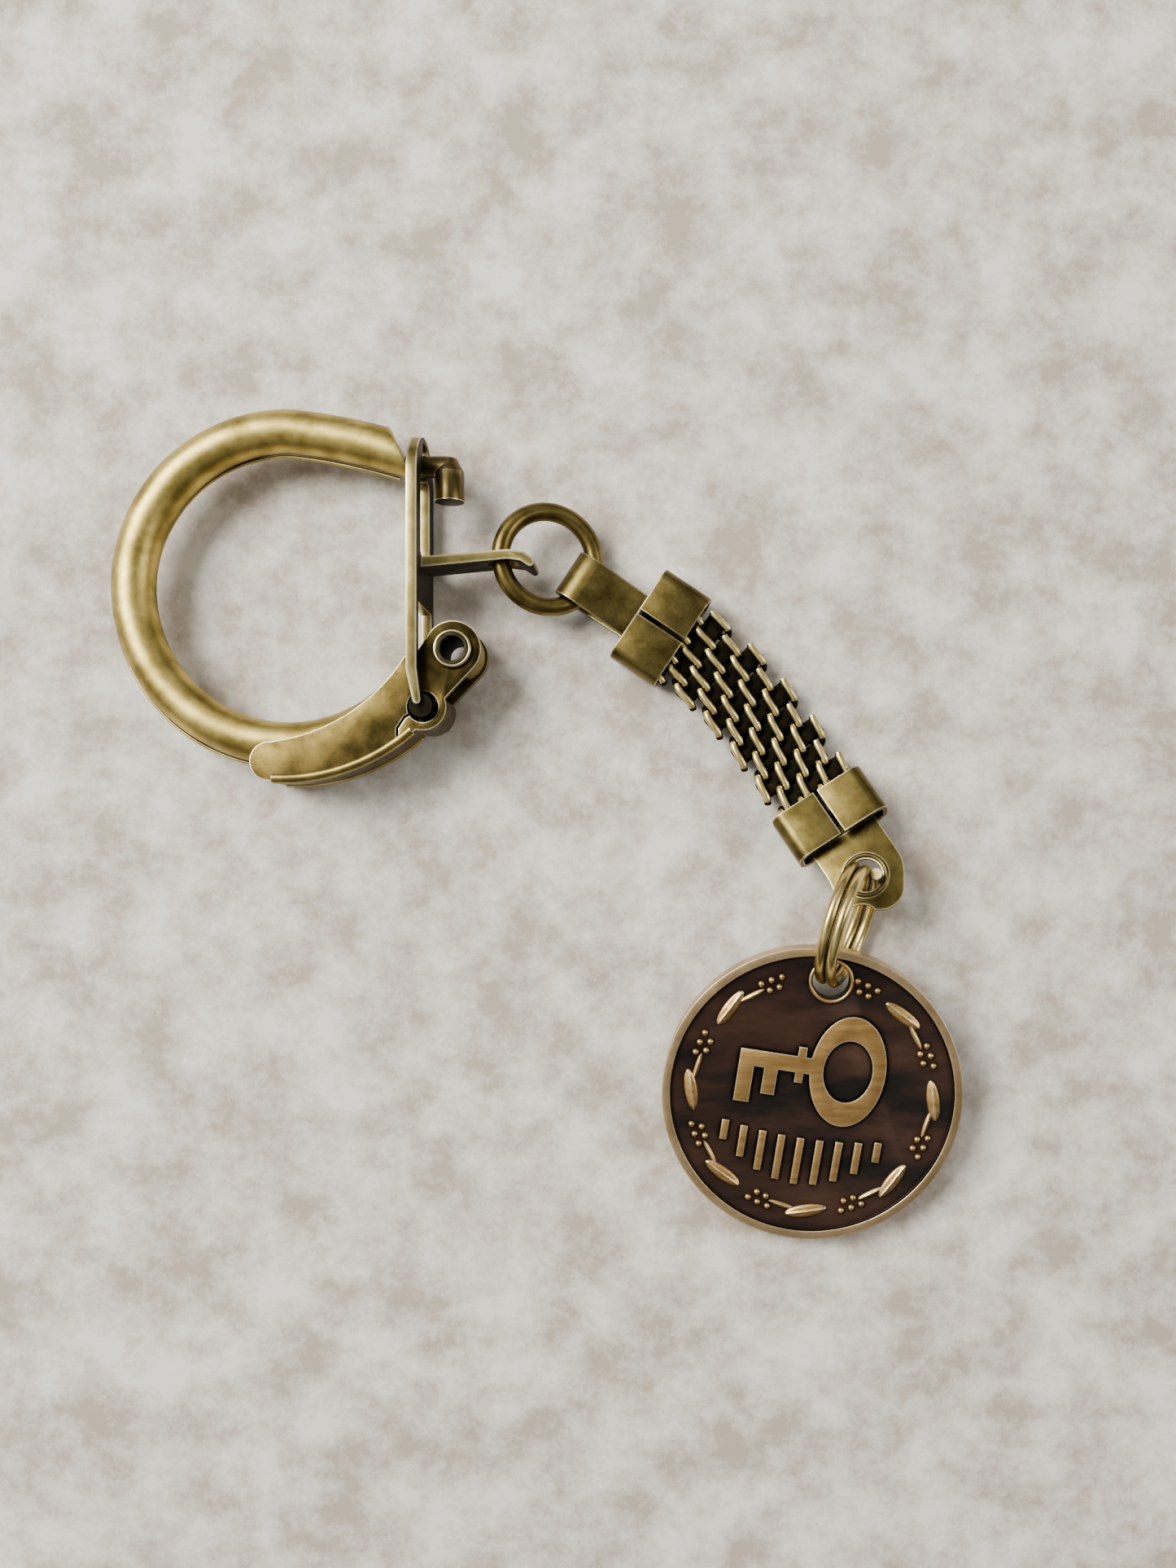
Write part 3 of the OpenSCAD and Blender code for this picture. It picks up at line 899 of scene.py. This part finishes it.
def strike_coin():
    rim, sunk = 0.44 * MM, 0.17 * MM
    field = coin_thick / 2 - sunk
    blank = coin_blank(rim, sunk)
    hole = Vector((0, coin_hole_off, 0))
    paint(blank, coin_field)
    finish_part_of(blank, coin_rim,
                   lambda p, n: math.hypot(p.x, p.y) > coin_radius - rim - 0.01 * MM)
    # painted shade: the wall of the hanging hole is painted black
    finish_part_of(blank, painted_black_shade,
                   lambda p, n: off_axis(p, hole) < coin_hole_radius + 0.02 * MM)
    tall = 0.26 * MM
    level = field + 0.02 * MM
    raised = [key_emblem(level, tall), hole_collar(field)] + bar_row(level, tall) + wreath(field)
    for p in raised:
        paint(p, coin_relief)
    coin = join_up("coin_struck", [blank] + raised)
    coin.matrix_world = (Matrix.Translation(coin_centre) @ Matrix.Rotation(coin_turn, 4, "Z")
                         @ Matrix.Rotation(coin_slope, 4, "X"))
    fix_place(coin)
    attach(coin, "pendant")
    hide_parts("coin")


strike_coin()
paint(frame["nodes"]["link_ring"], link_brass)


# ---- setting: floor, light and camera -------------------------------------------
def lay_floor():
    just_under = 0.02 * MM
    put_down_all()
    bpy.ops.mesh.primitive_plane_add(size=2.0, location=(0, 0, cad_box[0].z - just_under))
    ground = bpy.context.object
    ground.name = "floor"
    fix_place(ground)
    mat, tree, shader = finish_nodes("pale floor")
    coords = tree.nodes.new("ShaderNodeTexCoord").outputs["Object"]
    tone = two_tone(tree, cloudy(tree, coords, 220, 12, 0.72), 0.40, (0.41, 0.345, 0.27),
                    0.60, (0.76, 0.72, 0.64))
    tree.links.new(tone, shader.inputs["Base Color"])
    shader.inputs["Roughness"].default_value = 0.85
    paint(ground, mat)


def soft_panel(name, place, size, power, tint):
    """A rectangular lamp that points at the middle of the table."""
    put_down_all()
    bpy.ops.object.light_add(type="AREA", location=place)
    lamp = bpy.context.object
    lamp.name = name
    lamp.data.shape = "RECTANGLE"
    lamp.data.size, lamp.data.size_y = size
    lamp.data.energy = power
    lamp.data.color = tint
    lamp.rotation_euler = (-Vector(place)).to_track_quat("-Z", "Y").to_euler()


def light_the_bench():
    world = bpy.data.worlds.new("studio")
    bpy.context.scene.world = world
    world.use_nodes = True
    tree = world.node_tree
    back = tree.nodes["Background"]
    sky = tree.nodes.new("ShaderNodeTexCoord").outputs["Generated"]
    # dark at the horizon, brightest half way up, dimmer overhead
    parts = tree.nodes.new("ShaderNodeSeparateXYZ")
    ramp = tree.nodes.new("ShaderNodeValToRGB")
    tree.links.new(sky, parts.inputs["Vector"])
    tree.links.new(parts.outputs["Z"], ramp.inputs["Fac"])
    steps = ramp.color_ramp.elements
    steps[0].position, steps[0].color = 0.04, (0.03, 0.028, 0.025, 1)
    steps[1].position, steps[1].color = 1.0, (0.30, 0.30, 0.30, 1)
    for place, level in ((0.30, 0.16), (0.62, 0.95), (0.86, 0.62)):
        steps.new(place).color = (level, level * 0.99, level * 0.96, 1)
    # the room is brighter to the left and behind than to the right
    leftness = compare_vectors(tree, "DOT_PRODUCT", sky, (-0.85, 0.53, 0))
    share = stretched(tree, leftness, -0.7, 0.7, 0.22, 1.25)
    tree.links.new(mixed(tree, 1.0, ramp.outputs["Color"], share, "MULTIPLY"),
                   back.inputs["Color"])
    back.inputs["Strength"].default_value = 1.0
    soft_panel("key panel", (-0.17, 0.10, 0.22), (0.15, 0.15), 1.75, (1.0, 0.98, 0.95))
    soft_panel("side panel", (0.22, 0.02, 0.14), (0.05, 0.16), 0.25, (1.0, 0.97, 0.93))


def set_camera():
    """Looks straight down; the shift frames the object off the lens axis."""
    image_high = 1926
    view_height = 81.5 * MM
    put_down_all()
    bpy.ops.object.camera_add(location=(8.66 * MM, -3.61 * MM, view_height), rotation=(0, 0, 0))
    camera = bpy.context.object
    camera.data.sensor_fit = "VERTICAL"
    camera.data.sensor_height = 24
    camera.data.lens = 24 * 1792 / image_high
    camera.data.shift_x = -134.5 / image_high
    camera.data.shift_y = 135 / image_high
    camera.data.clip_start = 1 * MM
    bpy.context.scene.camera = camera


lay_floor()
light_the_bench()
set_camera()
